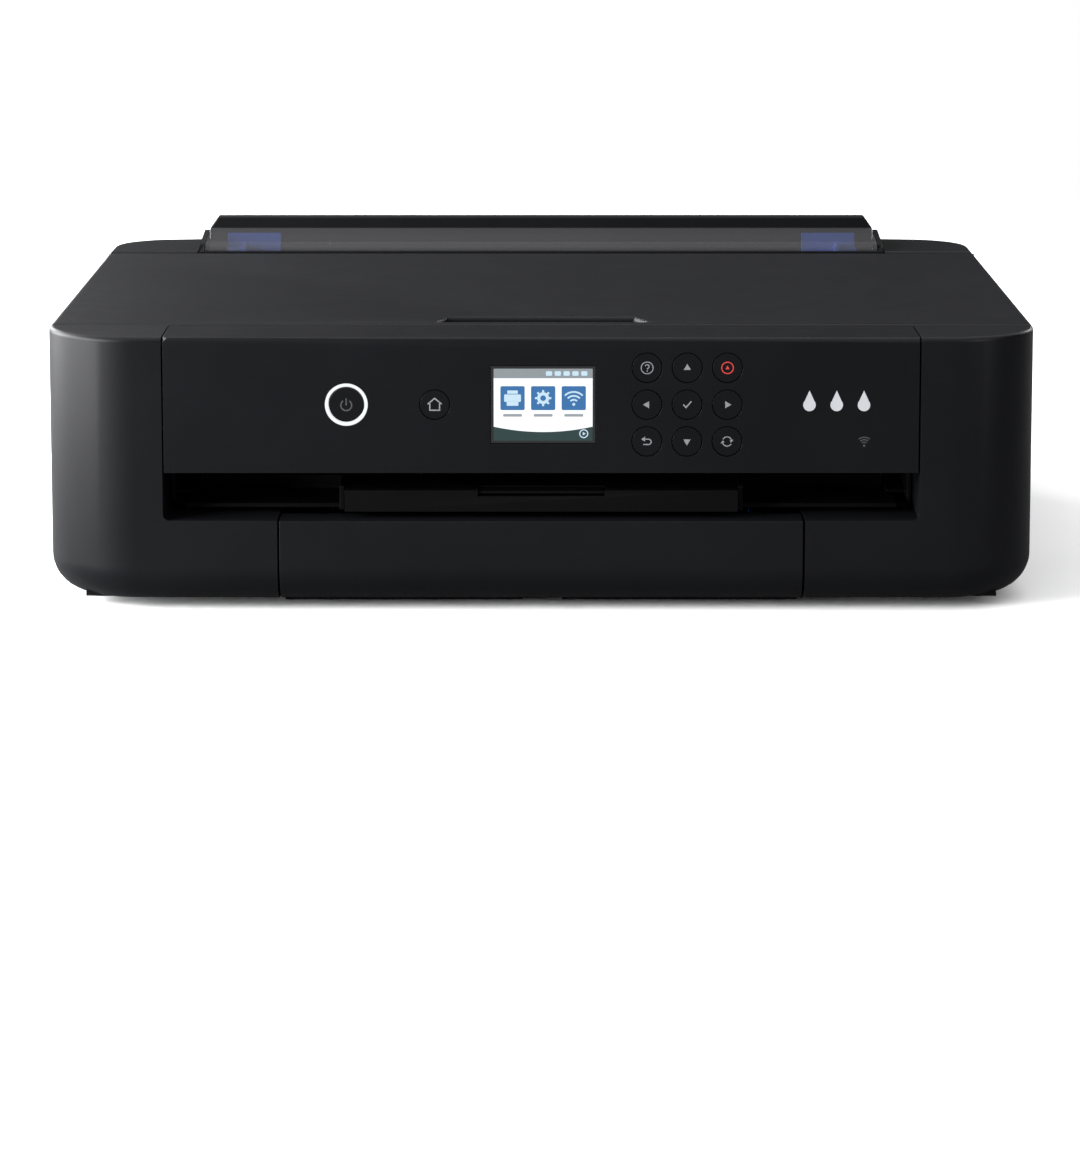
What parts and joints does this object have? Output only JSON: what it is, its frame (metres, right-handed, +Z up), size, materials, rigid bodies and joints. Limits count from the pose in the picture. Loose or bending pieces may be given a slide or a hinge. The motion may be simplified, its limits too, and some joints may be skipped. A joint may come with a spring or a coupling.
{
  "type": "inkjet printer",
  "caption": "Wide-format desktop inkjet printer with a tilting control panel, lift-up cover, front cassette, sliding output tray and rear sheet feeder.",
  "frame": {"origin": "middle of the footprint on the surface the printer stands on", "axes": "+X to the user's right across the width, +Y from the front to the back, +Z up"},
  "size_m": [0.479, 0.37, 0.148],
  "materials": {
    "case_shell": "fine-textured black moulded plastic",
    "panel_shell": "satin black moulded plastic",
    "inner_plastic": "plain dark moulded plastic",
    "smoky_plastic": "smoky translucent plastic",
    "blue_plastic": "blue moulded plastic",
    "key_plastic": "satin black key",
    "light_ring": "white light guide",
    "screen_glass": "glossy screen",
    "sheet_steel": "zinc-plated pressed steel",
    "bright_steel": "ground steel rod",
    "roller_coat": "grit-coated roller",
    "soft_rubber": "black rubber",
    "belt_rubber": "ribbed drive belt",
    "brass_gear": "brass",
    "white_gear": "white acetal gear",
    "circuit_board": "green circuit board",
    "ink_case": "black cartridge case",
    "head_metal": "print head plate",
    "grey_plastic": "light grey moulded plastic"
  },
  "bodies": {
    "root": {"base_pan": "case_shell", "left_side_cover": "case_shell", "right_side_cover": "case_shell", "rear_panel": "case_shell", "feed_frame": "inner_plastic", "exit_frame": "inner_plastic", "feet": "soft_rubber", "case_screws": "sheet_steel", "chassis": "sheet_steel", "guide_rod": "bright_steel", "carriage_belt": "belt_rubber", "drive_motors": "sheet_steel", "platen": "inner_plastic", "capping_station": "grey_plastic", "main_board": "circuit_board", "power_supply": "inner_plastic", "ac_inlet": "inner_plastic"},
    "panel": {"control_panel": "panel_shell", "screen_module": "screen_glass", "panel_board": "circuit_board", "power_ring": "light_ring"},
    "power_key_cap": {"power_key": "key_plastic"},
    "home_key_cap": {"home_key": "key_plastic"},
    "help_key_cap": {"help_key": "key_plastic"},
    "up_key_cap": {"up_key": "key_plastic"},
    "stop_key_cap": {"stop_key": "key_plastic"},
    "left_key_cap": {"left_key": "key_plastic"},
    "ok_key_cap": {"ok_key": "key_plastic"},
    "right_key_cap": {"right_key": "key_plastic"},
    "back_key_cap": {"back_key": "key_plastic"},
    "down_key_cap": {"down_key": "key_plastic"},
    "repeat_key_cap": {"repeat_key": "key_plastic"},
    "cover": {"printer_cover": "case_shell"},
    "tray": {"output_tray": "inner_plastic"},
    "extension": {"tray_extension": "inner_plastic"},
    "stop": {"tray_stop": "inner_plastic"},
    "cassette": {"cassette_pan": "inner_plastic", "cassette_front": "case_shell"},
    "left_sheet_guide": {"cassette_left_guide": "blue_plastic"},
    "right_sheet_guide": {"cassette_right_guide": "blue_plastic"},
    "guard": {"feeder_guard": "smoky_plastic"},
    "lower_support": {"support_lower": "inner_plastic"},
    "upper_support": {"support_upper": "inner_plastic"},
    "left_edge_guide": {"edge_guide_left": "blue_plastic"},
    "right_edge_guide": {"edge_guide_right": "blue_plastic"},
    "guide_gear": {"guide_pinion": "white_gear"},
    "hopper": {"hopper_plate": "inner_plastic"},
    "pickup": {"rear_pickup_roller": "soft_rubber"},
    "head_carriage": {"carriage": "inner_plastic", "ink_cartridges": "ink_case", "print_head": "head_metal"},
    "drive_pulley": {"motor_pulley": "brass_gear"},
    "tail_pulley": {"idler_pulley": "white_gear"},
    "feed": {"feed_roller": "roller_coat"},
    "pinch": {"pinch_rollers": "soft_rubber"},
    "motor_pinion": {"feed_pinion": "brass_gear"},
    "exit": {"exit_roller": "soft_rubber"},
    "stars": {"star_wheels": "sheet_steel"},
    "back_cover": {"rear_cover": "case_shell"},
    "waste_box": {"maintenance_box": "inner_plastic"}
  },
  "joints": [
    {"name": "cover_hinge", "type": "hinge", "parent": "root", "child": "cover", "pos_m": [0, 0.1207, 0.126], "axis": [-1, 0, 0], "range_deg": [0, 70]},
    {"name": "panel_hinge", "type": "hinge", "parent": "root", "child": "panel", "pos_m": [0, -0.1455, 0.131], "axis": [-1, 0, 0], "range_deg": [0, 45]},
    {"name": "power_key_press", "type": "slide", "parent": "panel", "child": "power_key_cap", "axis": [0, 1, 0], "range_m": [0, 0.0006], "stiffness_N_per_m": 800, "springref_m": -0.0004},
    {"name": "home_key_press", "type": "slide", "parent": "panel", "child": "home_key_cap", "axis": [0, 1, 0], "range_m": [0, 0.0006], "stiffness_N_per_m": 800, "springref_m": -0.0004},
    {"name": "help_key_press", "type": "slide", "parent": "panel", "child": "help_key_cap", "axis": [0, 1, 0], "range_m": [0, 0.0006], "stiffness_N_per_m": 800, "springref_m": -0.0004},
    {"name": "up_key_press", "type": "slide", "parent": "panel", "child": "up_key_cap", "axis": [0, 1, 0], "range_m": [0, 0.0006], "stiffness_N_per_m": 800, "springref_m": -0.0004},
    {"name": "stop_key_press", "type": "slide", "parent": "panel", "child": "stop_key_cap", "axis": [0, 1, 0], "range_m": [0, 0.0006], "stiffness_N_per_m": 800, "springref_m": -0.0004},
    {"name": "left_key_press", "type": "slide", "parent": "panel", "child": "left_key_cap", "axis": [0, 1, 0], "range_m": [0, 0.0006], "stiffness_N_per_m": 800, "springref_m": -0.0004},
    {"name": "ok_key_press", "type": "slide", "parent": "panel", "child": "ok_key_cap", "axis": [0, 1, 0], "range_m": [0, 0.0006], "stiffness_N_per_m": 800, "springref_m": -0.0004},
    {"name": "right_key_press", "type": "slide", "parent": "panel", "child": "right_key_cap", "axis": [0, 1, 0], "range_m": [0, 0.0006], "stiffness_N_per_m": 800, "springref_m": -0.0004},
    {"name": "back_key_press", "type": "slide", "parent": "panel", "child": "back_key_cap", "axis": [0, 1, 0], "range_m": [0, 0.0006], "stiffness_N_per_m": 800, "springref_m": -0.0004},
    {"name": "down_key_press", "type": "slide", "parent": "panel", "child": "down_key_cap", "axis": [0, 1, 0], "range_m": [0, 0.0006], "stiffness_N_per_m": 800, "springref_m": -0.0004},
    {"name": "repeat_key_press", "type": "slide", "parent": "panel", "child": "repeat_key_cap", "axis": [0, 1, 0], "range_m": [0, 0.0006], "stiffness_N_per_m": 800, "springref_m": -0.0004},
    {"name": "tray_slide", "type": "slide", "parent": "root", "child": "tray", "axis": [0, -1, 0], "range_m": [0, 0.105]},
    {"name": "extension_slide", "type": "slide", "parent": "tray", "child": "extension", "axis": [0, -1, 0], "range_m": [0, 0.08]},
    {"name": "stop_hinge", "type": "hinge", "parent": "extension", "child": "stop", "pos_m": [0, -0.1758, 0.0575], "axis": [1, 0, 0], "range_deg": [0, 95]},
    {"name": "cassette_slide", "type": "slide", "parent": "root", "child": "cassette", "axis": [0, -1, 0], "range_m": [0, 0.25]},
    {"name": "sheet_guide_slide", "type": "slide", "parent": "cassette", "child": "left_sheet_guide", "axis": [1, 0, 0], "range_m": [0, 0.055]},
    {"name": "right_sheet_guide_slide", "type": "slide", "parent": "cassette", "child": "right_sheet_guide", "axis": [-1, 0, 0], "range_m": [0, 0.055]},
    {"name": "guard_hinge", "type": "hinge", "parent": "root", "child": "guard", "pos_m": [0, 0.138, 0.134], "axis": [1, 0, 0], "range_deg": [0, 90]},
    {"name": "lower_support_slide", "type": "slide", "parent": "root", "child": "lower_support", "axis": [0, 0.2079, 0.9781], "range_m": [0, 0.07]},
    {"name": "upper_support_slide", "type": "slide", "parent": "lower_support", "child": "upper_support", "axis": [0, 0.2079, 0.9781], "range_m": [0, 0.065]},
    {"name": "edge_guide_slide", "type": "slide", "parent": "root", "child": "left_edge_guide", "axis": [1, 0, 0], "range_m": [0, 0.12]},
    {"name": "right_edge_guide_slide", "type": "slide", "parent": "root", "child": "right_edge_guide", "axis": [-1, 0, 0], "range_m": [0, 0.12]},
    {"name": "guide_gear_spin", "type": "hinge", "parent": "root", "child": "guide_gear", "pos_m": [0, 0.16942, 0.11201], "axis": [0, 0.9781, -0.2079], "continuous": true},
    {"name": "hopper_hinge", "type": "hinge", "parent": "root", "child": "hopper", "pos_m": [0, 0.16217, 0.0885], "axis": [-1, 0, 0], "range_deg": [0, 8]},
    {"name": "pickup_spin", "type": "hinge", "parent": "root", "child": "pickup", "pos_m": [0, 0.13651, 0.06636], "axis": [1, 0, 0], "continuous": true},
    {"name": "carriage_slide", "type": "slide", "parent": "root", "child": "head_carriage", "axis": [1, 0, 0], "range_m": [-0.355, 0]},
    {"name": "drive_pulley_spin", "type": "hinge", "parent": "root", "child": "drive_pulley", "pos_m": [0.2215, 0.039, 0.106], "axis": [0, -1, 0], "continuous": true},
    {"name": "tail_pulley_spin", "type": "hinge", "parent": "root", "child": "tail_pulley", "pos_m": [-0.2025, 0.039, 0.106], "axis": [0, -1, 0], "continuous": true},
    {"name": "feed_spin", "type": "hinge", "parent": "root", "child": "feed", "pos_m": [0, 0.038, 0.066], "axis": [1, 0, 0], "continuous": true},
    {"name": "pinch_spin", "type": "hinge", "parent": "root", "child": "pinch", "pos_m": [0, 0.041, 0.07596], "axis": [1, 0, 0], "continuous": true},
    {"name": "motor_pinion_spin", "type": "hinge", "parent": "root", "child": "motor_pinion", "pos_m": [-0.218, 0.0731, 0.066], "axis": [1, 0, 0], "continuous": true},
    {"name": "exit_spin", "type": "hinge", "parent": "root", "child": "exit", "pos_m": [0, -0.052, 0.0665], "axis": [1, 0, 0], "continuous": true},
    {"name": "star_spin", "type": "hinge", "parent": "root", "child": "stars", "pos_m": [0, -0.052, 0.0769], "axis": [1, 0, 0], "continuous": true},
    {"name": "back_cover_slide", "type": "slide", "parent": "root", "child": "back_cover", "axis": [0, 1, 0], "range_m": [0, 0.05]},
    {"name": "waste_box_slide", "type": "slide", "parent": "root", "child": "waste_box", "axis": [0, 1, 0], "range_m": [0, 0.08]}
  ],
  "couplings": [
    {"joint": "right_sheet_guide_slide", "follows": "sheet_guide_slide", "ratio": 1},
    {"joint": "right_edge_guide_slide", "follows": "edge_guide_slide", "ratio": 1},
    {"joint": "guide_gear_spin", "follows": "edge_guide_slide", "rad_per_m": -166.67},
    {"joint": "drive_pulley_spin", "follows": "carriage_slide", "rad_per_m": 142.86},
    {"joint": "tail_pulley_spin", "follows": "carriage_slide", "rad_per_m": 142.86},
    {"joint": "pinch_spin", "follows": "feed_spin", "ratio": -1.5},
    {"joint": "motor_pinion_spin", "follows": "feed_spin", "ratio": -4},
    {"joint": "exit_spin", "follows": "feed_spin", "ratio": 1.2},
    {"joint": "star_spin", "follows": "feed_spin", "ratio": -1.2}
  ]
}
